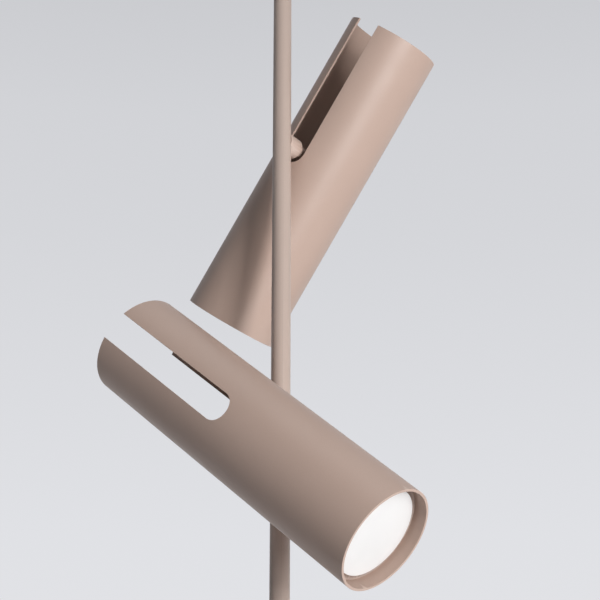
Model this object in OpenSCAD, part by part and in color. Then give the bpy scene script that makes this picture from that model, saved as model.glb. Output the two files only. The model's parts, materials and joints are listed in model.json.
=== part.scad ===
// A floor-to-ceiling pole lamp: two slotted tube shades on short arms, one each side of a sprung tension pole.
// The origin is the centre of the floor pad's underside. +Z runs up the pole and +Y is the upper arm's direction.

/* [Pole] */
// Outer diameter of the pole
pole_diameter = 16; // [15:0.5:18]
// Wall of the pole's tubes
pole_wall = 1.5; // [1.2:0.1:1.6]
// Length of the lower tube
lower_tube_length = 1141; // [841:10:1341]
// Length of the middle tube, which carries both arms
middle_tube_length = 850; // [700:10:1050]
// Length of the upper tube
upper_tube_length = 310; // [200:10:410]
// Distance from the top of the upper tube to the ceiling
extension = 190; // [150:10:300]
// How far the inner tube can still be lowered
lowering = 60; // [10:10:100]

/* [Arms] */
// Distance from the lower end of the middle tube up to the lower arm
joint_to_arm = 300; // [200:10:400]
// Distance between the two arms, measured up the pole
arm_spacing = 277; // [270:1:330]
// Distance from the pole's axis to a shade's axis
arm_reach = 60.5; // [58:0.5:80]
// Diameter of an arm inside its shade
arm_diameter = 11.6; // [11.5:0.1:12]
// Diameter of an arm's boss, between the pole and the shade
boss_diameter = 18.4; // [16:0.1:22]
// How far the lower arm is turned from straight opposite the upper one, in degrees
lower_arm_angle = 4.6; // [0:0.1:10]

/* [Shades] */
// Outer diameter of a shade
shade_diameter = 85; // [83:1:92]
// Wall of a shade
shade_wall = 2; // [1.5:0.1:2.5]
// Length of a shade
shade_length = 293; // [280:1:320]
// Distance from the mouth of a shade to its arm
mouth_to_arm = 162.5; // [160:0.5:175]
// Width of the slot in a shade
slot_width = 24; // [24:0.5:26]
// Diameter of the diffuser
diffuser_diameter = 72.5; // [68:0.5:75]
// Depth of the diffuser in the mouth of a shade
mouth_depth = 10.2; // [8:0.1:15]

/* [Aim] */
// Angle of the upper shade's axis above the level, in degrees
upper_tilt_angle = 52.6; // [0:0.1:90]
// Angle of the lower shade's axis above the level, in degrees
lower_tilt_angle = 40.4; // [0:0.1:90]
// Angle of the lower shade's turn about its own length, in degrees
lower_roll_angle = 7.8; // [0:0.1:7.8]

/* [Floor and ceiling ends] */
// Diameter of the floor pad
floor_pad_diameter = 72; // [64:1:90]
// Diameter of the ceiling pad
ceiling_pad_diameter = 66; // [60:1:80]
// Thickness of both pads
pad_thickness = 4; // [3:0.5:6]
// Travel of the sprung ceiling end
plunger_travel = 18; // [10:1:20]

/* [Hidden] */

$fn = 96;
// Overrun of every cut past the face that it opens
overrun = 1;
// Radial clearances: pieces fixed in each other, pieces that slide or turn, and screw threads
fixed_fit = 0.05;
running_fit = 0.075;
thread_fit = 0.05;
// Gap between flat faces that turn on each other
face_gap = 0.1;

// Pole
pole_radius = pole_diameter / 2;
pole_bore_radius = pole_radius - pole_wall;
joiner_length = 60;
joiner_wall = 2.4;
lead_diameter = 5;

// Floor end
foot_diameter = 68;
foot_rim = 5;
foot_slope = 9;
hub_diameter = 27;
hub_height = 54;
rim_round = 1.2;
foot_floor = pad_thickness + foot_rim;
foot_top = pad_thickness + hub_height;
lower_joint_height = foot_floor + lower_tube_length;
upper_joint_height = lower_joint_height + middle_tube_length;
upper_tube_top = upper_joint_height + upper_tube_length;
overall_height = upper_tube_top + extension;
lower_arm_height = lower_joint_height + joint_to_arm;
upper_arm_height = lower_arm_height + arm_spacing;
gland_height = 32;
gland_diameter = 8;
gland_bore = 6;
gland_flange_diameter = 13;
gland_flange = 2.5;
gland_seat_depth = 1;
floor_screw_diameter = 5;
floor_screw_from_top = 10;
floor_screw_sunk = 0.6;
floor_screw_socket = 2.9;
floor_screw_socket_depth = 2.4;

// Height lock
collar_diameter = 26;
collar_below = 26;
collar_above = 5;
collar_chamfer = 1;
lock_from_top = 12;
lock_thread = 6;
lock_tip_gap = 0.1;
lock_neck = 2;
knob_diameter = 20;
knob_length = 12;
knob_flutes = 12;
knob_flute_diameter = 3;
knob_chamfer = 1;

// Ceiling end
cup_diameter = 60;
cup_rim = 5;
cup_slope = 6;
cup_hub_diameter = 18;
cup_hub_length = 28;
cup_socket_depth = 18;
cup_top = overall_height - pad_thickness;
cup_bottom = cup_top - cup_hub_length;

// Inner tube and its sprung end
inner_wall = 1.4;
inner_radius = pole_bore_radius - running_fit;
inner_bore_radius = inner_radius - inner_wall;
inner_bottom = upper_joint_height + joiner_length / 2 + lowering;
bush_length = 14;
bush_flange = 2;
plunger_spare = 4;
inner_top = cup_bottom - plunger_travel - plunger_spare - bush_flange;
plunger_diameter = 7;
piston_length = 8;
piston_top = inner_top - bush_length - face_gap;
piston_bottom = piston_top - piston_length;
spring_length = 66;
spring_wire = 1.2;
spring_turns = 10;
spring_steps = 14;
spring_sides = 6;
spring_end_gap = 0.1;
spring_side_gap = 0.3;
spring_radius = inner_bore_radius - spring_wire / 2 - spring_side_gap;
seat_top = piston_bottom - spring_length;
seat_length = 8;

// Arm, nipple and swivel block, measured from the swivel's centre on the shade's axis
nipple_diameter = 10;
nipple_bore = 7;
nipple_end = 2.4;
nipple_in_pole = 0.9;
boss_start = 2;
arm_lead_diameter = 4;
lead_gap = 0.3;
block_diameter = 18;
block_half = 9;
block_wall = 3.5;
chamber_diameter = 14;
washer_thickness = 0.8;
washer_diameter = 17;
swivel_nut_diameter = 13;
swivel_nut_length = 2.8;
cap_thickness = 2;
cap_slot = 1.2;
cap_slot_depth = 0.8;

// Stem, measured from the swivel's centre towards the mouth
stem_bore = 6;
stem_spigot_diameter = 9;
stem_spigot_length = 1.8;
stem_shoulder_diameter = 16;
stem_diameter = 12;
shoulder_end = 24;
stem_end = 42;
stem_nut_length = 6;
stem_nut_corners = 22;

// Bridge and light engine
bridge_thickness = 8;
bridge_back = shoulder_end + face_gap;
bridge_front = bridge_back + bridge_thickness;
bridge_vents = 6;
bridge_vent_diameter = 15;
bridge_vent_radius = 28;
screw_radius = 20;
screw_diameter = 3;
screw_head_diameter = 5.6;
screw_head = 2.2;
screw_length = 18;
screw_socket = 2.3;
screw_socket_depth = 1.2;
sink_core_diameter = 30;
sink_pocket = 12;
sink_length = 70;
sink_core_back = bridge_front + sink_pocket;
sink_front = bridge_front + sink_length;
sink_plate = 4;
sink_plate_diameter = 66;
sink_diameter = 74;
sink_fins = 20;
sink_fin = 1.8;
sink_fin_root = 14.5;
sink_boss_diameter = 8;
sink_bore = 6.5;
board_diameter = 50;
board_thickness = 1.6;
chip_diameter = 18;
chip_thickness = 1.2;
mouth_face = mouth_to_arm;
diffuser_front = mouth_face - mouth_depth;
diffuser_thickness = 4;
diffuser_proud = 1.7;
diffuser_back = diffuser_front - diffuser_thickness;
ring_lip = 3.5;
ring_lip_width = 2.2;
reflector_wall = 1.2;
reflector_rim = 1.5;
reflector_throat = 24;
reflector_mouth = 74;
reflector_front = diffuser_back - ring_lip;
reflector_back = sink_front + board_thickness + fixed_fit;
shade_radius = shade_diameter / 2;
shade_bore_radius = shade_radius - shade_wall;
fitted_radius = shade_bore_radius - fixed_fit;

// Colours
paint = "#bfa999";
dark_metal = "#4a4644";
bright_metal = "#c9c9c9";
rubber = "#3b3736";
nylon = "#2b2928";
opal = "#f7f6f3";

// Frames of the two heads: their arm's angle about the pole, height, tilt and roll
function turn_of(head) = head == "upper" ? 0 : 180 + lower_arm_angle;
function height_of(head) = head == "upper" ? upper_arm_height : lower_arm_height;
function tilt_of(head) = head == "upper" ? upper_tilt_angle : lower_tilt_angle;
function roll_of(head) = head == "upper" ? 0 : lower_roll_angle;

// Puts children at a head's swivel, with +Y along the arm away from the pole
module at_arm(head)
    rotate([0, 0, turn_of(head)])
        translate([0, arm_reach, height_of(head)])
            children();

// The same, with +Z along the shade from its mouth to its open back
module at_swivel(head)
    at_arm(head)
        rotate([0, 90 - tilt_of(head), 0])
            children();

// The same, rolled about the shade's length
module at_head(head)
    at_swivel(head)
        rotate([0, 0, roll_of(head)])
            children();

// A cylinder from one place to another along Z
module rod(radius, from, to)
    translate([0, 0, from])
        cylinder(r = radius, h = to - from);

// A tube from one place to another along Z
module pipe(radius, bore, from, to)
    difference() {
        rod(radius, from, to);
        rod(bore, from - overrun, to + overrun);
    }

// Turns children so that their Z axis lies along Y
module along_y()
    rotate([-90, 0, 0])
        children();

// Turns children so that their Z axis lies along X
module along_x()
    rotate([0, 90, 0])
        children();

module floor_pad()
    color(rubber)
        rotate_extrude()
            polygon([
                [0, 0],
                [floor_pad_diameter / 2 - rim_round, 0],
                [floor_pad_diameter / 2, rim_round],
                [floor_pad_diameter / 2, pad_thickness],
                [0, pad_thickness]]);

module floor_cup()
    color(paint)
        difference() {
            rotate_extrude()
                polygon([
                    [0, pad_thickness],
                    [foot_diameter / 2, pad_thickness],
                    [foot_diameter / 2, foot_floor - rim_round],
                    [foot_diameter / 2 - rim_round, foot_floor],
                    [hub_diameter / 2 + rim_round, foot_floor + foot_slope - rim_round],
                    [hub_diameter / 2, foot_floor + foot_slope],
                    [hub_diameter / 2, foot_top - rim_round],
                    [hub_diameter / 2 - rim_round, foot_top],
                    [0, foot_top]]);
            rod(pole_radius + fixed_fit, foot_floor, foot_top + overrun);
            translate([0, 0, gland_height])
                along_x() {
                    rod(gland_diameter / 2 + fixed_fit, -hub_diameter, 0);
                    rod(gland_flange_diameter / 2 + fixed_fit, -hub_diameter,
                        gland_seat_depth - hub_diameter / 2);
                }
            translate([0, 0, foot_top - floor_screw_from_top])
                along_y()
                    rod(floor_screw_diameter / 2 + thread_fit, 0, hub_diameter);
        }

module floor_screw()
    color(dark_metal)
        translate([0, 0, foot_top - floor_screw_from_top])
            along_y()
                difference() {
                    rod(floor_screw_diameter / 2, pole_radius, hub_diameter / 2 - floor_screw_sunk);
                    translate([0, 0, hub_diameter / 2 - floor_screw_sunk - floor_screw_socket_depth])
                        cylinder(d = floor_screw_socket, h = floor_screw_socket_depth + overrun, $fn = 6);
                }

module cable_gland()
    color(dark_metal)
        translate([0, 0, gland_height])
            along_x()
                difference() {
                    union() {
                        rod(gland_diameter / 2, gland_seat_depth - hub_diameter / 2, -pole_bore_radius);
                        rod(gland_flange_diameter / 2, gland_seat_depth - hub_diameter / 2 - gland_flange,
                            gland_seat_depth - hub_diameter / 2);
                    }
                    rod(gland_bore / 2, -hub_diameter, 0);
                }

module pole_lower()
    color(paint)
        difference() {
            pipe(pole_radius, pole_bore_radius, foot_floor, lower_joint_height);
            translate([0, 0, gland_height])
                along_x()
                    rod(gland_diameter / 2 + fixed_fit, -hub_diameter, 0);
        }

// Inner sleeve across a joint between two tubes
module joiner(height)
    color(bright_metal)
        pipe(pole_bore_radius - fixed_fit, pole_bore_radius - fixed_fit - joiner_wall,
            height - joiner_length / 2, height + joiner_length / 2);

module joiner_lower() joiner(lower_joint_height);

module joiner_upper() joiner(upper_joint_height);

module pole_middle()
    color(paint)
        difference() {
            pipe(pole_radius, pole_bore_radius, lower_joint_height, upper_joint_height);
            for (head = ["upper", "lower"])
                at_arm(head)
                    along_y()
                        rod(nipple_diameter / 2 + thread_fit, -arm_reach, -arm_reach + pole_diameter);
        }

module pole_upper()
    color(paint)
        difference() {
            pipe(pole_radius, pole_bore_radius, upper_joint_height, upper_tube_top);
            translate([0, 0, upper_tube_top - lock_from_top])
                along_x()
                    rod(lock_thread / 2 + thread_fit, 0, pole_diameter);
        }

module pole_lead()
    color(rubber)
        rod(lead_diameter / 2, gland_height - lead_diameter / 2, height_of("upper") + nipple_diameter / 2);

module lock_collar()
    color(paint)
        difference() {
            rotate_extrude()
                polygon([
                    [0, upper_tube_top - collar_below],
                    [collar_diameter / 2 - collar_chamfer, upper_tube_top - collar_below],
                    [collar_diameter / 2, upper_tube_top - collar_below + collar_chamfer],
                    [collar_diameter / 2, upper_tube_top + collar_above - collar_chamfer],
                    [collar_diameter / 2 - collar_chamfer, upper_tube_top + collar_above],
                    [0, upper_tube_top + collar_above]]);
            rod(pole_radius + fixed_fit, upper_tube_top - collar_below - overrun, upper_tube_top);
            rod(inner_radius + running_fit, upper_tube_top - overrun, upper_tube_top + collar_above + overrun);
            translate([0, 0, upper_tube_top - lock_from_top])
                along_x()
                    rod(lock_thread / 2 + thread_fit, 0, collar_diameter);
        }

module lock_screw()
    color(dark_metal)
        translate([0, 0, upper_tube_top - lock_from_top])
            along_x() {
                rod(lock_thread / 2, inner_radius + lock_tip_gap, collar_diameter / 2 + lock_neck);
                difference() {
                    translate([0, 0, collar_diameter / 2 + lock_neck])
                        rotate_extrude()
                            polygon([
                                [0, 0],
                                [knob_diameter / 2 - knob_chamfer, 0],
                                [knob_diameter / 2, knob_chamfer],
                                [knob_diameter / 2, knob_length - knob_chamfer],
                                [knob_diameter / 2 - knob_chamfer, knob_length],
                                [0, knob_length]]);
                    for (flute = [0 : knob_flutes - 1])
                        rotate([0, 0, flute * 360 / knob_flutes])
                            translate([knob_diameter / 2, 0, 0])
                                rod(knob_flute_diameter / 2, collar_diameter / 2,
                                    collar_diameter / 2 + lock_neck + knob_length + overrun);
                }
            }

module inner_tube()
    color(bright_metal)
        pipe(inner_radius, inner_bore_radius, inner_bottom, inner_top);

module guide_bush()
    color(nylon)
        difference() {
            union() {
                rod(inner_bore_radius - fixed_fit, inner_top - bush_length, inner_top);
                rod(inner_radius, inner_top, inner_top + bush_flange);
            }
            rod(plunger_diameter / 2 + running_fit, inner_top - bush_length - overrun,
                inner_top + bush_flange + overrun);
        }

module spring_seat()
    color(bright_metal)
        rod(inner_bore_radius - fixed_fit, seat_top - seat_length, seat_top);

// One ring of the spring's wire, at a share of its length from the seat to the piston
function spring_ring(share) =
    let (angle = share * spring_turns * 360,
         free = spring_length - spring_wire - 2 * spring_end_gap,
         middle = seat_top + spring_end_gap + spring_wire / 2 + share * free)
    [for (side = [0 : spring_sides - 1])
        let (around = side * 360 / spring_sides,
             out = spring_radius + spring_wire / 2 * cos(around))
        [out * cos(angle), out * sin(angle), middle + spring_wire / 2 * sin(around)]];

module tension_spring() {
    rings = spring_turns * spring_steps;
    points = [for (ring = [0 : rings]) each spring_ring(ring / rings)];
    sides = [for (ring = [0 : rings - 1], side = [0 : spring_sides - 1])
        let (next = (side + 1) % spring_sides,
             low = ring * spring_sides,
             high = low + spring_sides)
        each [[low + side, high + side, high + next], [low + side, high + next, low + next]]];
    caps = [
        [for (side = [0 : spring_sides - 1]) side],
        [for (side = [spring_sides - 1 : -1 : 0]) rings * spring_sides + side]];
    echo(least_spring_gap = spring_length / spring_turns - spring_wire);
    color(dark_metal)
        polyhedron(points, concat(sides, caps));
}

module plunger_stem()
    color(bright_metal) {
        rod(inner_bore_radius - running_fit, piston_bottom, piston_top);
        rod(plunger_diameter / 2, piston_bottom, cup_bottom + cup_socket_depth);
    }

module ceiling_cup()
    color(paint)
        difference() {
            rotate_extrude()
                polygon([
                    [0, cup_bottom],
                    [cup_hub_diameter / 2 - rim_round, cup_bottom],
                    [cup_hub_diameter / 2, cup_bottom + rim_round],
                    [cup_hub_diameter / 2, cup_top - cup_rim - cup_slope],
                    [cup_diameter / 2 - rim_round, cup_top - cup_rim],
                    [cup_diameter / 2, cup_top - cup_rim + rim_round],
                    [cup_diameter / 2, cup_top],
                    [0, cup_top]]);
            rod(plunger_diameter / 2 + thread_fit, cup_bottom - overrun, cup_bottom + cup_socket_depth);
        }

module ceiling_pad()
    color(rubber)
        rotate_extrude()
            polygon([
                [0, cup_top],
                [ceiling_pad_diameter / 2, cup_top],
                [ceiling_pad_diameter / 2, overall_height - rim_round],
                [ceiling_pad_diameter / 2 - rim_round, overall_height],
                [0, overall_height]]);

// Sleeve from the pole to the swivel, cut to sit on the pole, with a wider boss that ends at the shade's slot
module arm(head)
    color(paint)
        at_arm(head)
            difference() {
                along_y()
                    difference() {
                        union() {
                            rod(arm_diameter / 2, -arm_reach, -block_half - washer_thickness - face_gap);
                            rod(boss_diameter / 2, boss_start - arm_reach, -shade_radius);
                        }
                        rod(nipple_diameter / 2 + fixed_fit, -arm_reach - overrun, 0);
                    }
                translate([0, -arm_reach, 0])
                    rod(pole_radius + fixed_fit, -boss_diameter, boss_diameter);
            }

// Threaded tube that clamps the arm between the pole's wall and the swivel
module nipple(head)
    color(bright_metal)
        at_arm(head)
            along_y()
                pipe(nipple_diameter / 2, nipple_bore / 2, -arm_reach + pole_bore_radius - nipple_in_pole,
                    -nipple_end);

module arm_lead(head)
    color(rubber)
        at_arm(head)
            along_y()
                rod(arm_lead_diameter / 2, -arm_reach + lead_diameter / 2 + lead_gap,
                    -arm_lead_diameter / 2 - lead_gap);

module swivel_washer(head)
    color(dark_metal)
        at_arm(head)
            along_y()
                pipe(washer_diameter / 2, nipple_diameter / 2 + fixed_fit,
                    -block_half - washer_thickness - face_gap, -block_half - face_gap);

module swivel_nut(head)
    color(bright_metal)
        at_arm(head)
            along_y()
                pipe(swivel_nut_diameter / 2, nipple_diameter / 2 + thread_fit,
                    -block_half + block_wall + face_gap,
                    -block_half + block_wall + face_gap + swivel_nut_length);

// Swivel housing: it turns on the nipple and carries the stem
module block(head)
    color(bright_metal)
        at_swivel(head)
            difference() {
                along_y()
                    difference() {
                        rod(block_diameter / 2, -block_half, block_half);
                        rod(nipple_diameter / 2 + running_fit, -block_half - overrun, 0);
                        rod(chamber_diameter / 2, -block_half + block_wall, block_half + overrun);
                    }
                rod(stem_spigot_diameter / 2 + thread_fit, -block_diameter, 0);
            }

module block_cap(head)
    color(dark_metal)
        at_swivel(head)
            along_y()
                difference() {
                    rod(chamber_diameter / 2 - fixed_fit, block_half - cap_thickness, block_half);
                    translate([0, 0, block_half])
                        cube([chamber_diameter * 2, cap_slot, cap_slot_depth * 2], center = true);
                }

// Hollow stem along the shade's axis, on which the shade rolls
module stem(head)
    color(bright_metal)
        at_swivel(head)
            mirror([0, 0, 1])
                difference() {
                    union() {
                        difference() {
                            rod(stem_shoulder_diameter / 2, 0, shoulder_end);
                            along_y()
                                rod(block_diameter / 2 + fixed_fit, -block_diameter, block_diameter);
                        }
                        rod(stem_diameter / 2, shoulder_end - overrun, stem_end);
                        rod(stem_spigot_diameter / 2, block_half - stem_spigot_length, shoulder_end);
                    }
                    rod(stem_bore / 2, 0, stem_end + overrun);
                }

module stem_nut(head)
    color(dark_metal)
        at_swivel(head)
            mirror([0, 0, 1])
                difference() {
                    translate([0, 0, bridge_front + face_gap])
                        cylinder(d = stem_nut_corners, h = stem_nut_length, $fn = 6);
                    rod(stem_diameter / 2 + thread_fit, bridge_front, bridge_front + stem_nut_length * 2);
                }

module head_lead(head)
    color(rubber)
        at_swivel(head)
            mirror([0, 0, 1])
                rod(arm_lead_diameter / 2, 0, sink_front - face_gap);

// Bearing plate that carries the shade on the stem
module bridge(head)
    color(bright_metal)
        at_head(head)
            mirror([0, 0, 1])
                difference() {
                    rod(fitted_radius, bridge_back, bridge_front);
                    rod(stem_diameter / 2 + running_fit, bridge_back - overrun, bridge_front + overrun);
                    for (vent = [0 : bridge_vents - 1])
                        rotate([0, 0, (vent + 0.5) * 360 / bridge_vents])
                            translate([bridge_vent_radius, 0, 0])
                                rod(bridge_vent_diameter / 2, bridge_back - overrun,
                                    bridge_front + overrun);
                    screw_places()
                        rod(screw_diameter / 2 + thread_fit, bridge_back - overrun, bridge_front + overrun);
                }

// The two screws' places, either side of the stem
module screw_places()
    for (side = [-1, 1])
        translate([side * screw_radius, 0, 0])
            children();

module screws(head)
    color(dark_metal)
        at_head(head)
            mirror([0, 0, 1])
                screw_places()
                    difference() {
                        union() {
                            rod(screw_head_diameter / 2, bridge_back - screw_head, bridge_back);
                            rod(screw_diameter / 2, bridge_back - screw_head / 2,
                                bridge_back - screw_head / 2 + screw_length);
                        }
                        translate([0, 0, bridge_back - screw_head - overrun])
                            cylinder(d = screw_socket, h = screw_socket_depth + overrun, $fn = 6);
                    }

module heat_sink(head)
    color("#a8a6a4")
        at_head(head)
            mirror([0, 0, 1])
                difference() {
                    union() {
                        rod(sink_core_diameter / 2, sink_core_back, sink_front);
                        rod(sink_plate_diameter / 2, sink_front - sink_plate, sink_front);
                        for (fin = [0 : sink_fins - 1])
                            rotate([0, 0, (fin + 0.5) * 360 / sink_fins])
                                translate([sink_fin_root, -sink_fin / 2, bridge_front])
                                    cube([sink_diameter / 2 - sink_fin_root, sink_fin,
                                        sink_front - bridge_front]);
                        screw_places()
                            rod(sink_boss_diameter / 2, bridge_front, sink_front - sink_plate);
                    }
                    rod(sink_bore / 2, sink_core_back - overrun, sink_front + overrun);
                    screw_places()
                        rod(screw_diameter / 2 + thread_fit, bridge_front - overrun,
                            bridge_back + screw_length);
                }

module led_board(head)
    color("#e8e4d8")
        at_head(head)
            mirror([0, 0, 1]) {
                rod(board_diameter / 2, sink_front, sink_front + board_thickness);
                rod(chip_diameter / 2, sink_front, sink_front + board_thickness + chip_thickness);
            }

module reflector(head)
    color("#dedede")
        at_head(head)
            mirror([0, 0, 1])
                rotate_extrude()
                    polygon([
                        [reflector_throat / 2, reflector_back],
                        [reflector_throat / 2 + reflector_wall, reflector_back],
                        [reflector_mouth / 2 + reflector_wall, reflector_front - reflector_rim],
                        [fitted_radius, reflector_front - reflector_rim],
                        [fitted_radius, reflector_front],
                        [reflector_mouth / 2, reflector_front]]);

// Ring with a seat for the diffuser, which stands a little proud of it
module diffuser_ring(head)
    color(paint)
        at_head(head)
            mirror([0, 0, 1])
                difference() {
                    rod(fitted_radius, reflector_front, diffuser_front - diffuser_proud);
                    rod(diffuser_diameter / 2 + fixed_fit, diffuser_back, diffuser_front);
                    rod(diffuser_diameter / 2 - ring_lip_width, reflector_front - overrun, diffuser_front);
                }

module diffuser(head)
    color(opal)
        at_head(head)
            mirror([0, 0, 1])
                rod(diffuser_diameter / 2, diffuser_back, diffuser_front);

// Tube shade, slotted through both walls from its open back to a round end that is concentric with the arm
module shade(head)
    color(paint)
        at_head(head)
            difference() {
                pipe(shade_radius, shade_bore_radius, -mouth_to_arm, shade_length - mouth_to_arm);
                along_y()
                    rod(slot_width / 2, -shade_diameter, shade_diameter);
                translate([-slot_width / 2, -shade_diameter, 0])
                    cube([slot_width, 2 * shade_diameter, shade_length]);
            }

module upper_arm() arm("upper");
module upper_nipple() nipple("upper");
module upper_arm_lead() arm_lead("upper");
module upper_swivel_washer() swivel_washer("upper");
module upper_swivel_nut() swivel_nut("upper");
module upper_block() block("upper");
module upper_block_cap() block_cap("upper");
module upper_stem() stem("upper");
module upper_stem_nut() stem_nut("upper");
module upper_head_lead() head_lead("upper");
module upper_bridge() bridge("upper");
module upper_screws() screws("upper");
module upper_heat_sink() heat_sink("upper");
module upper_led_board() led_board("upper");
module upper_reflector() reflector("upper");
module upper_diffuser_ring() diffuser_ring("upper");
module upper_diffuser() diffuser("upper");
module upper_shade() shade("upper");

module lower_arm() arm("lower");
module lower_nipple() nipple("lower");
module lower_arm_lead() arm_lead("lower");
module lower_swivel_washer() swivel_washer("lower");
module lower_swivel_nut() swivel_nut("lower");
module lower_block() block("lower");
module lower_block_cap() block_cap("lower");
module lower_stem() stem("lower");
module lower_stem_nut() stem_nut("lower");
module lower_head_lead() head_lead("lower");
module lower_bridge() bridge("lower");
module lower_screws() screws("lower");
module lower_heat_sink() heat_sink("lower");
module lower_led_board() led_board("lower");
module lower_reflector() reflector("lower");
module lower_diffuser_ring() diffuser_ring("lower");
module lower_diffuser() diffuser("lower");
module lower_shade() shade("lower");

floor_pad();
floor_cup();
floor_screw();
cable_gland();
pole_lower();
joiner_lower();
pole_middle();
joiner_upper();
pole_upper();
pole_lead();
lock_collar();
lock_screw();
inner_tube();
guide_bush();
spring_seat();
tension_spring();
plunger_stem();
ceiling_cup();
ceiling_pad();
upper_arm();
upper_nipple();
upper_arm_lead();
upper_swivel_washer();
upper_swivel_nut();
upper_block();
upper_block_cap();
upper_stem();
upper_stem_nut();
upper_head_lead();
upper_bridge();
upper_screws();
upper_heat_sink();
upper_led_board();
upper_reflector();
upper_diffuser_ring();
upper_diffuser();
upper_shade();
lower_arm();
lower_nipple();
lower_arm_lead();
lower_swivel_washer();
lower_swivel_nut();
lower_block();
lower_block_cap();
lower_stem();
lower_stem_nut();
lower_head_lead();
lower_bridge();
lower_screws();
lower_heat_sink();
lower_led_board();
lower_reflector();
lower_diffuser_ring();
lower_diffuser();
lower_shade();
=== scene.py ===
import json
import math
from collections import namedtuple

import bmesh
import bpy
from mathutils import Matrix, Vector


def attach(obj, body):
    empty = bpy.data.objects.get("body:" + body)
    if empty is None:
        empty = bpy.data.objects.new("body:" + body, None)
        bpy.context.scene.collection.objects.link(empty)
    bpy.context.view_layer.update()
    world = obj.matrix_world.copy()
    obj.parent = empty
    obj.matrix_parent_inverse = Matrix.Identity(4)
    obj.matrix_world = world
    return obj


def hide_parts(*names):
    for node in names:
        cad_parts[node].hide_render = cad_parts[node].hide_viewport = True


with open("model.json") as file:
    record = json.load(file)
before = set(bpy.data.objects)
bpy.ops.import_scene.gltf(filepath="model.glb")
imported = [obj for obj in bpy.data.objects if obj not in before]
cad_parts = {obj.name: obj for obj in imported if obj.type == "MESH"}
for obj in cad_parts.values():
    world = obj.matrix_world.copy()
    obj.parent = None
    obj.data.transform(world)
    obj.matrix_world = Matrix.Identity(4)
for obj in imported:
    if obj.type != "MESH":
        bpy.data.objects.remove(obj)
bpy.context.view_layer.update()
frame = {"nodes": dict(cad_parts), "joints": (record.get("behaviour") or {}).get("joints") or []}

nodes = frame["nodes"]
joints = {joint["name"]: joint for joint in frame["joints"]}
MM = 0.001

# Camera: the photograph's view, which looks up at the heads from below
CAMERA_AT = Vector((0.6920, -0.9720, 1.0823))
CAMERA_TURN = math.radians(34.69)
CAMERA_PITCH = math.radians(22.52)
CAMERA_LENS = 92.75
CAMERA_SENSOR = 36
CAMERA_CLIP = (0.05, 100)

# Directions as the camera's side sees them
RIGHT = Vector((math.cos(CAMERA_TURN), math.sin(CAMERA_TURN), 0))
AWAY = Vector((-math.sin(CAMERA_TURN), math.cos(CAMERA_TURN), 0))
UP = Vector((0, 0, 1))

# Heads: how far each is turned about its own length
HEAD_ROLL = {"upper": 0.0, "lower": 7.8}

# A shade, with the sizes of its solid. Lengths along it are from its swivel, towards its open back.
SHADE_RADIUS = 42.5 * MM
SHADE_WALL = 2.0 * MM
SHADE_FRONT = -162.5 * MM
SHADE_BACK = 130.5 * MM
SLOT_HALF = 12.0 * MM
EASED_EDGE = 0.35 * MM
EASED_STEPS = 3
SHARP_ANGLE = math.radians(40)

# The shade's grid: columns across a slot and across a panel between the slots, then rows from the mouth to
# the place where they begin to bend, on to the slot's round end, and on to the open back
SLOT_COLUMNS = 24
PANEL_COLUMNS = 56
FRONT_ROWS = 24
BEND_ROWS = 10
BACK_ROWS = 26
BEND_FROM = SHADE_FRONT + 120 * MM

# Floor and backdrop
FLOOR_HALF = 40.0
FLOOR_GLOW = 0.80
BACKDROP_LIGHT = 0.04
# Height from straight down (0) to straight up (1), and the backdrop's colour there
BACKDROP_TONES = ((0.0, (229, 230, 233)), (0.24, (224, 225, 229)), (0.34, (218, 219, 223)),
                  (0.42, (213, 214, 218)), (0.49, (210, 211, 215)), (0.57, (201, 202, 206)),
                  (1.0, (190, 191, 195)))

# Light panels: direction from the heads as right, away and up, distance, width and height in metres, power in
# watts, and whether it shines in reflections. The back ones don't, so they draw no bright line along a rim.
AIM = Vector((0.0, 0.0, 1.6))
Panel = namedtuple("Panel", "right away up far wide tall power shine")
PANELS = {
    "key": Panel(0.50, -0.86, -0.10, 2.6, 0.45, 1.2, 35, True),
    "side": Panel(0.60, -0.70, -0.36, 2.6, 0.60, 0.8, 19, True),
    "low": Panel(0.75, 0.10, -0.60, 1.9, 1.0, 1.0, 4.5, True),
    "top": Panel(0.10, 0.0, 1.0, 3.2, 2.0, 2.0, 7, True),
    "top_front": Panel(0.04, -0.44, 0.90, 3.2, 2.0, 2.0, 10, True),
    "front_left": Panel(-0.60, -0.75, 0.25, 3.0, 1.6, 1.6, 1.8, True),
    "top_back": Panel(0.10, 0.80, 0.60, 3.2, 1.6, 1.2, 15, False),
    "back_right": Panel(0.55, 0.83, 0.04, 3.2, 1.2, 1.6, 9, False),
    "back_left": Panel(-0.50, 0.78, 0.40, 3.2, 1.2, 1.6, 5, False),
}


def in_scene(name, data):
    piece = bpy.data.objects.new(name, data)
    bpy.context.scene.collection.objects.link(piece)
    return piece


def photo_camera():
    data = bpy.data.cameras.new("camera")
    data.sensor_width = CAMERA_SENSOR
    data.lens = CAMERA_LENS
    data.clip_start, data.clip_end = CAMERA_CLIP
    camera = in_scene("camera", data)
    camera.location = CAMERA_AT
    camera.rotation_mode = "QUATERNION"
    looks = AWAY * math.cos(CAMERA_PITCH) + UP * math.sin(CAMERA_PITCH)
    camera.rotation_quaternion = looks.to_track_quat("-Z", "Y")
    bpy.context.scene.camera = camera


def head_matrix(head, roll):
    """The head's own frame: the origin at its swivel, +Y along the arm and +Z from the mouth to the open back."""
    y = Vector(joints[head + "_swivel"]["axis"]).normalized()
    z = Vector(joints[head + "_roll"]["axis"]).normalized()
    place = Matrix((y.cross(z), y, z)).transposed().to_4x4()
    place.translation = Vector(joints[head + "_swivel"]["pos_m"])
    return place @ Matrix.Rotation(math.radians(roll), 4, "Z")


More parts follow.
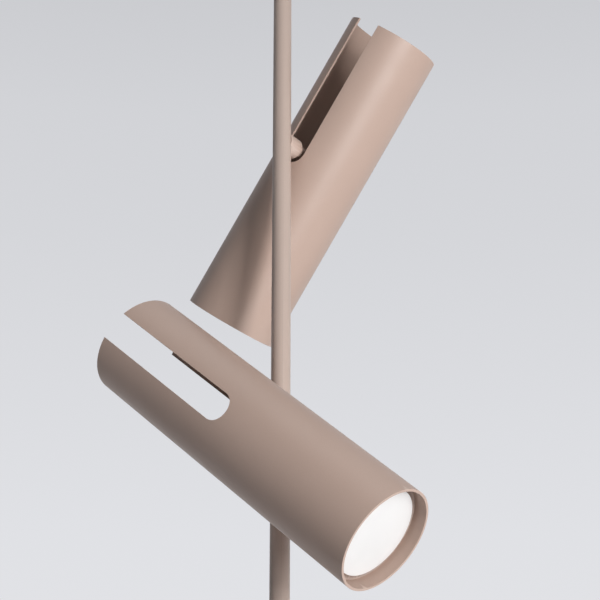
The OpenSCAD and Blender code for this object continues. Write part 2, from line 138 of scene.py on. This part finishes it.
# Materials
def srgb(r, g, b):
    """A colour given as it looks on screen, 0 to 255, as the linear values that the shader takes."""
    def linear(c):
        c /= 255
        return c / 12.92 if c <= 0.04045 else ((c + 0.055) / 1.055) ** 2.4
    return (linear(r), linear(g), linear(b), 1.0)


class Nodes:
    """A material's node tree, with short ways to add and join nodes."""

    def __init__(self, name):
        self.material = bpy.data.materials.new(name)
        self.material.use_nodes = True
        self.tree = self.material.node_tree
        self.tree.nodes.clear()
        self.out = self.add("ShaderNodeOutputMaterial")
        self.shader = self.add("ShaderNodeBsdfPrincipled")
        self.join(self.shader.outputs[0], self.out.inputs["Surface"])
        self.coords = self.add("ShaderNodeTexCoord").outputs["Object"]

    def add(self, kind):
        return self.tree.nodes.new(kind)

    def join(self, output, socket):
        self.tree.links.new(output, socket)

    def mapping(self, scale, rotation=None):
        """Object coordinates, turned to a part's own frame if it has one, and then scaled."""
        vector = self.coords
        if rotation is not None:
            turn = self.add("ShaderNodeMapping")
            turn.vector_type = "TEXTURE"
            turn.inputs["Rotation"].default_value = rotation
            self.join(vector, turn.inputs["Vector"])
            vector = turn.outputs[0]
        stretch = self.add("ShaderNodeMapping")
        stretch.inputs["Scale"].default_value = scale
        self.join(vector, stretch.inputs["Vector"])
        return stretch.outputs[0]

    def noise(self, scale, detail, rough, vector=None):
        node = self.add("ShaderNodeTexNoise")
        node.inputs["Scale"].default_value = scale
        node.inputs["Detail"].default_value = detail
        node.inputs["Roughness"].default_value = rough
        self.join(self.coords if vector is None else vector, node.inputs["Vector"])
        return node.outputs["Fac"]

    def spread(self, value, low, high, from_low=0.3, from_high=0.7):
        """A noise, which mostly keeps between 0.3 and 0.7, spread over another range."""
        node = self.add("ShaderNodeMapRange")
        node.inputs["From Min"].default_value = from_low
        node.inputs["From Max"].default_value = from_high
        node.inputs["To Min"].default_value = low
        node.inputs["To Max"].default_value = high
        self.join(value, node.inputs["Value"])
        return node.outputs[0]

    def mix(self, share, first, second):
        node = self.add("ShaderNodeMix")
        node.data_type = "RGBA"
        self.join(share, node.inputs[0])
        for value, socket in ((first, node.inputs[6]), (second, node.inputs[7])):
            if isinstance(value, tuple):
                socket.default_value = value
            else:
                self.join(value, socket)
        return node.outputs[2]

    def cloudy(self, value, first, second):
        """From one colour to another by a noise."""
        return self.mix(self.spread(value, 0.0, 1.0), srgb(*first), srgb(*second))

    def edge_wear_and_highlight(self, most, tone, edge_tone):
        """The colour with convex edges paler towards another one: wear, and on the paint also a painted highlight.
        """
        pointiness = self.add("ShaderNodeNewGeometry").outputs["Pointiness"]
        return self.mix(self.spread(pointiness, 0.0, most, 0.57, 0.63), tone, srgb(*edge_tone))

    def bump(self, height, distance, strength, before=None):
        node = self.add("ShaderNodeBump")
        node.inputs["Distance"].default_value = distance
        node.inputs["Strength"].default_value = strength
        self.join(height, node.inputs["Height"])
        if before is not None:
            self.join(before, node.inputs["Normal"])
        return node.outputs[0]

    def finish(self, tone, rough, normal, **numbers):
        """Joins colour, roughness and normal to the shader, and sets its other sockets to plain numbers."""
        self.join(tone, self.shader.inputs["Base Color"])
        self.join(rough, self.shader.inputs["Roughness"])
        self.join(normal, self.shader.inputs["Normal"])
        for socket, number in numbers.items():
            self.shader.inputs[socket.replace("_", " ")].default_value = number
        return self.material


def paint(name, low, high, rough):
    """Satin powder paint: fine orange peel, faint mottling, and paler edges, partly worn where the coat lies
    thinner and partly a painted highlight.
    """
    n = Nodes(name)
    grain = n.noise(scale=1500.0, detail=2.0, rough=0.6)
    peel = n.noise(scale=420.0, detail=2.0, rough=0.5)
    tone = n.cloudy(n.noise(scale=9.0, detail=3.0, rough=0.55), low, high)
    tone = n.mix(n.spread(grain, 0.0, 0.35), tone, srgb(192, 165, 151))
    # paler edges: partly wear, partly a painted highlight
    tone = n.edge_wear_and_highlight(0.55, tone, (228, 209, 198))
    gloss = n.spread(n.noise(scale=60.0, detail=3.0, rough=0.6), *rough)
    return n.finish(tone, gloss, n.bump(grain, 0.00002, 0.5, n.bump(peel, 0.00004, 0.5)))


def metal(name, low, high, rough, scratch):
    """Plated or bare metal with fine drawn lines, cloudy tone and worn edges."""
    n = Nodes(name)
    lines = n.noise(1.0, 2.0, 0.6, n.mapping(scratch))
    tone = n.cloudy(n.noise(scale=70.0, detail=3.0, rough=0.6), low, high)
    tone = n.edge_wear_and_highlight(0.5, tone, (228, 226, 222))
    return n.finish(tone, n.spread(lines, *rough), n.bump(lines, 0.00002, 0.6), Metallic=1.0)


def aluminium(name, rotation):
    """Extruded and machined aluminium with fine lines along the shade."""
    n = Nodes(name)
    lines = n.noise(1.0, 3.0, 0.65, n.mapping((2600, 2600, 40), rotation))
    tone = n.cloudy(n.noise(scale=45.0, detail=3.0, rough=0.6), (166, 167, 168), (192, 192, 191))
    return n.finish(tone, n.spread(lines, 0.30, 0.48), n.bump(lines, 0.00003, 0.5), Metallic=1.0)


def black_oxide(name):
    """Blackened steel: dark, slightly brown, rubbed paler on its edges."""
    n = Nodes(name)
    cloud = n.noise(scale=160.0, detail=4.0, rough=0.65)
    tone = n.edge_wear_and_highlight(0.6, n.cloudy(cloud, (48, 45, 43), (66, 61, 57)), (128, 122, 116))
    grain = n.noise(scale=1800.0, detail=2.0, rough=0.6)
    return n.finish(tone, n.spread(cloud, 0.34, 0.52), n.bump(grain, 0.00002, 0.5), Metallic=0.7)


def rubber(name):
    """Matt rubber with a fine grain and a trace of dust."""
    n = Nodes(name)
    grain = n.noise(scale=1400.0, detail=3.0, rough=0.6)
    dust = n.spread(n.noise(scale=38.0, detail=4.0, rough=0.6), 0.0, 0.25, 0.5, 0.75)
    tone = n.mix(dust, n.cloudy(grain, (46, 43, 41), (60, 56, 53)), srgb(120, 114, 108))
    return n.finish(tone, n.spread(grain, 0.72, 0.86), n.bump(grain, 0.00005, 0.7), Specular_IOR_Level=0.3)


def plastic(name, dark, light, rough):
    """Moulded plastic with a fine spark-eroded texture."""
    n = Nodes(name)
    grain = n.noise(scale=1100.0, detail=2.0, rough=0.6)
    tone = n.cloudy(n.noise(scale=60.0, detail=3.0, rough=0.5), dark, light)
    return n.finish(tone, n.spread(grain, *rough), n.bump(grain, 0.00003, 0.6))


def opal(name):
    """Opal acrylic with a faint painted glow that makes the disc a little brighter."""
    n = Nodes(name)
    cloud = n.noise(scale=26.0, detail=2.0, rough=0.5)
    grain = n.noise(scale=900.0, detail=2.0, rough=0.5)
    n.join(n.cloudy(cloud, (238, 237, 236), (242, 241, 240)), n.shader.inputs["Base Color"])
    # a faint painted glow on the disc
    n.join(n.cloudy(cloud, (250, 249, 248), (255, 254, 253)), n.shader.inputs["Emission Color"])
    n.join(n.spread(grain, 0.36, 0.44), n.shader.inputs["Roughness"])
    n.shader.inputs["Emission Strength"].default_value = 0.02
    return n.material


def board(name):
    """White solder mask with a faint glass weave."""
    n = Nodes(name)
    weave = n.noise(scale=700.0, detail=2.0, rough=0.5)
    tone = n.cloudy(weave, (226, 222, 206), (236, 233, 222))
    return n.finish(tone, n.spread(weave, 0.34, 0.48), n.bump(weave, 0.00002, 0.5))


def dress(material, *names):
    """Puts a material on every slot of some CAD nodes."""
    for name in names:
        mesh = nodes[name].data
        mesh.materials.clear()
        mesh.materials.append(material)
        for face in mesh.polygons:
            face.material_index = 0


SATIN = (0.40, 0.47)
MATT = (0.60, 0.70)
PAINT = paint("paint", (200, 174, 160), (205, 179, 165), SATIN)
# The pole: the shades' paint drawn darker, as painted shade
POLE_SHADED_PAINT = paint("pole_shaded_paint", (149, 126, 112), (154, 131, 117), SATIN)
# Inside of a shade: the paint drawn darker, as painted shade inside the tube, and rougher
INNER_SHADED_PAINT = paint("inner_shaded_paint", (174, 150, 137), (180, 156, 143), MATT)
# The ring round the diffuser: the paint drawn much darker, a painted shadow in the corner beside the disc
RING_SHADED_PAINT = paint("ring_shaded_paint", (120, 101, 92), (127, 107, 98), SATIN)
ZINC = metal("zinc", (176, 177, 178), (204, 204, 202), (0.24, 0.40), (900, 900, 60))
SPRING = metal("spring_steel", (112, 112, 114), (140, 139, 138), (0.25, 0.42), (900, 900, 900))
BRIGHT = metal("bright_aluminium", (214, 214, 214), (232, 232, 231), (0.10, 0.20), (500, 500, 500))
OXIDE = black_oxide("black_oxide")
RUBBER = rubber("rubber")
NYLON = plastic("nylon", (38, 36, 35), (50, 47, 45), (0.42, 0.54))
SHEATH = plastic("sheath", (40, 38, 37), (54, 51, 49), (0.50, 0.62))
OPAL = opal("opal")
BOARD = board("board")


def dress_pole():
    dress(POLE_SHADED_PAINT, "floor_cup", "pole_lower", "pole_middle", "pole_upper", "lock_collar", "ceiling_cup")
    dress(ZINC, "joiner_lower", "joiner_upper", "inner_tube", "spring_seat", "plunger_stem")
    dress(RUBBER, "floor_pad", "ceiling_pad")
    dress(NYLON, "cable_gland", "guide_bush")
    dress(OXIDE, "floor_screw", "lock_screw")
    dress(SHEATH, "pole_lead")
    dress(SPRING, "tension_spring")


def dress_head(head, place):
    lined = aluminium(head + "_aluminium", tuple(place.to_euler("XYZ")))
    for material, parts in ((PAINT, ("arm",)),
                            (ZINC, ("nipple", "swivel_nut", "stem")),
                            (OXIDE, ("swivel_washer", "block_cap", "stem_nut", "screws")),
                            (SHEATH, ("arm_lead", "head_lead")),
                            (lined, ("block", "bridge", "heat_sink")),
                            (BOARD, ("led_board",)),
                            (BRIGHT, ("reflector",)),
                            # the ring's dark paint is a painted shadow beside the disc
                            (RING_SHADED_PAINT, ("diffuser_ring",)),
                            (OPAL, ("diffuser",))):
        dress(material, *(head + "_" + part for part in parts))


# Shades
# A column of the shade's grid crosses a slot or a panel. It stands on one side of the tube, at an angle of the
# slot's round end or a share of the panel's width, and is whole if it runs on to the open back. From the mouth
# the columns of a slot run evenly spaced, and they gather towards its sides only as they near its round end.
Column = namedtuple("Column", "kind side value whole")


def shade_columns():
    columns = []
    for side in (1, -1):
        for k in range(SLOT_COLUMNS + 1):
            columns.append(Column("slot", side, math.pi * (1 - k / SLOT_COLUMNS), k in (0, SLOT_COLUMNS)))
        for k in range(1, PANEL_COLUMNS):
            columns.append(Column("panel", side, k / PANEL_COLUMNS, True))
    return columns


def shade_point(column, row, radius):
    """A corner of the grid, in the head's own frame."""
    if column.kind == "slot":
        bend = min(max((row - FRONT_ROWS) / BEND_ROWS, 0.0), 1.0)
        even = 1 - 2 * column.value / math.pi
        x = SLOT_HALF * (even + (math.cos(column.value) - even) * bend) * column.side
        y = column.side * math.sqrt(radius ** 2 - x ** 2)
        end = -SLOT_HALF * math.sin(column.value)
    else:
        edge = math.asin(SLOT_HALF / radius)
        angle = edge + (math.pi - 2 * edge) * column.value
        x, y = column.side * radius * math.sin(angle), column.side * radius * math.cos(angle)
        end = 0.0
    if row <= FRONT_ROWS:
        z = SHADE_FRONT + (BEND_FROM - SHADE_FRONT) * row / FRONT_ROWS
    elif row <= FRONT_ROWS + BEND_ROWS:
        z = BEND_FROM + (end - BEND_FROM) * (row - FRONT_ROWS) / BEND_ROWS
    else:
        z = SHADE_BACK * (row - FRONT_ROWS - BEND_ROWS) / BACK_ROWS
    return Vector((x, y, z))


def shade(head, place):
    """The slotted tube, with a neat grid of faces round its slots and a small eased edge on every cut."""
    columns = shade_columns()
    slot_end = FRONT_ROWS + BEND_ROWS
    last_row = slot_end + BACK_ROWS

    verts, index = [], {}
    for skin, radius in (("out", SHADE_RADIUS), ("in", SHADE_RADIUS - SHADE_WALL)):
        for c, column in enumerate(columns):
            for row in range((last_row if column.whole else slot_end) + 1):
                index[skin, c, row] = len(verts)
                verts.append(place @ shade_point(column, row, radius))

    faces, inner = [], set()
    for c, column in enumerate(columns):
        d = (c + 1) % len(columns)
        over_slot = column.kind == "slot" and columns[d].kind == "slot"
        end_row = slot_end if over_slot else last_row
        for row in range(end_row):
            quad = ((c, row), (d, row), (d, row + 1), (c, row + 1))
            faces.append([index["out", i, j] for i, j in quad])
            inner.add(len(faces))
            faces.append([index["in", i, j] for i, j in reversed(quad)])
        for row, first, second in ((0, c, d), (end_row, d, c)):
            faces.append([index["in", first, row], index["in", second, row],
                          index["out", second, row], index["out", first, row]])
    for c, column in enumerate(columns):
        if column.kind == "slot" and column.whole:
            rising = math.cos(column.value) < 0
            for row in range(slot_end, last_row):
                low, high = (row, row + 1) if rising else (row + 1, row)
                faces.append([index["in", c, low], index["in", c, high],
                              index["out", c, high], index["out", c, low]])

    mesh = bpy.data.meshes.new(head + "_shade_shell")
    mesh.from_pydata(verts, [], faces)
    mesh.materials.append(PAINT)
    # The inside skin takes the darker paint: painted shade inside the tube
    mesh.materials.append(INNER_SHADED_PAINT)
    for face in mesh.polygons:
        face.use_smooth = True
        face.material_index = 1 if face.index in inner else 0
    edit = bmesh.new()
    edit.from_mesh(mesh)
    bmesh.ops.recalc_face_normals(edit, faces=edit.faces)
    edit.to_mesh(mesh)
    edit.free()

    piece = in_scene(head + "_shade_shell", mesh)
    bevel = piece.modifiers.new("eased edges", "BEVEL")
    bevel.width = EASED_EDGE
    bevel.segments = EASED_STEPS
    bevel.limit_method = "ANGLE"
    bevel.angle_limit = SHARP_ANGLE
    even = piece.modifiers.new("even shading", "WEIGHTED_NORMAL")
    even.mode = "FACE_AREA"
    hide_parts(head + "_shade")
    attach(piece, head + "_head")


# Floor, backdrop and light
def seen_rays(tree):
    """1 for what the camera sees straight, in a reflection or through glass, 0 for light on its way."""
    path = tree.nodes.new("ShaderNodeLightPath")
    value = path.outputs["Is Camera Ray"]
    for name in ("Is Glossy Ray", "Is Transmission Ray"):
        most = tree.nodes.new("ShaderNodeMath")
        most.operation = "MAXIMUM"
        tree.links.new(value, most.inputs[0])
        tree.links.new(path.outputs[name], most.inputs[1])
        value = most.outputs[0]
    return value


def stage_floor():
    """A pale floor. Seen straight or in a reflection it is mostly its own colour, and the rest light and shadow."""
    corners = [(x * FLOOR_HALF, y * FLOOR_HALF, 0) for x, y in ((-1, -1), (1, -1), (1, 1), (-1, 1))]
    mesh = bpy.data.meshes.new("floor")
    mesh.from_pydata(corners, [], [(0, 1, 2, 3)])
    floor = in_scene("floor", mesh)
    n = Nodes("floor")
    tone = n.cloudy(n.noise(scale=1.6, detail=3.0, rough=0.5), (228, 228, 230), (232, 232, 234))
    n.join(tone, n.shader.inputs["Base Color"])
    n.shader.inputs["Roughness"].default_value = 0.85
    n.shader.inputs["Specular IOR Level"].default_value = 0.2
    glow = n.add("ShaderNodeEmission")
    n.join(tone, glow.inputs["Color"])
    share = n.add("ShaderNodeMath")
    share.operation = "MULTIPLY"
    share.inputs[1].default_value = FLOOR_GLOW
    n.join(seen_rays(n.tree), share.inputs[0])
    both = n.add("ShaderNodeMixShader")
    n.join(share.outputs[0], both.inputs[0])
    n.join(n.shader.outputs[0], both.inputs[1])
    n.join(glow.outputs[0], both.inputs[2])
    n.join(both.outputs[0], n.out.inputs["Surface"])
    mesh.materials.append(n.material)


def backdrop():
    """A pale grey backdrop, a little darker overhead. Seen straight or in a reflection it is that colour."""
    world = bpy.data.worlds.new("backdrop")
    bpy.context.scene.world = world
    world.use_nodes = True
    tree = world.node_tree
    tree.nodes.clear()
    join = tree.links.new
    split = tree.nodes.new("ShaderNodeSeparateXYZ")
    join(tree.nodes.new("ShaderNodeTexCoord").outputs["Generated"], split.inputs[0])
    ramp = tree.nodes.new("ShaderNodeValToRGB")
    join(split.outputs["Z"], ramp.inputs[0])
    while len(ramp.color_ramp.elements) < len(BACKDROP_TONES):
        ramp.color_ramp.elements.new(0.5)
    for element, (height, tone) in zip(ramp.color_ramp.elements, BACKDROP_TONES):
        element.position = height
        element.color = srgb(*tone)
    seen = tree.nodes.new("ShaderNodeBackground")
    join(ramp.outputs[0], seen.inputs["Color"])
    lit = tree.nodes.new("ShaderNodeBackground")
    lit.inputs["Color"].default_value = srgb(214, 219, 228)
    lit.inputs["Strength"].default_value = BACKDROP_LIGHT
    both = tree.nodes.new("ShaderNodeMixShader")
    join(seen_rays(tree), both.inputs[0])
    join(lit.outputs[0], both.inputs[1])
    join(seen.outputs[0], both.inputs[2])
    out = tree.nodes.new("ShaderNodeOutputWorld")
    join(both.outputs[0], out.inputs["Surface"])


def light_panel(name, panel):
    """A soft panel that shines on the heads."""
    data = bpy.data.lights.new(name, "AREA")
    data.energy = panel.power
    data.shape = "RECTANGLE"
    data.size = panel.wide
    data.size_y = panel.tall
    piece = in_scene(name, data)
    direction = (RIGHT * panel.right + AWAY * panel.away + UP * panel.up).normalized()
    piece.location = AIM + direction * panel.far
    piece.rotation_mode = "QUATERNION"
    piece.rotation_quaternion = direction.to_track_quat("Z", "Y")
    piece.visible_glossy = panel.shine


photo_camera()
dress_pole()
for head, roll in HEAD_ROLL.items():
    place = head_matrix(head, roll)
    dress_head(head, place)
    shade(head, place)
stage_floor()
backdrop()
for name, panel in PANELS.items():
    light_panel(name, panel)

bpy.context.scene.view_settings.view_transform = "Standard"
bpy.context.view_layer.update()
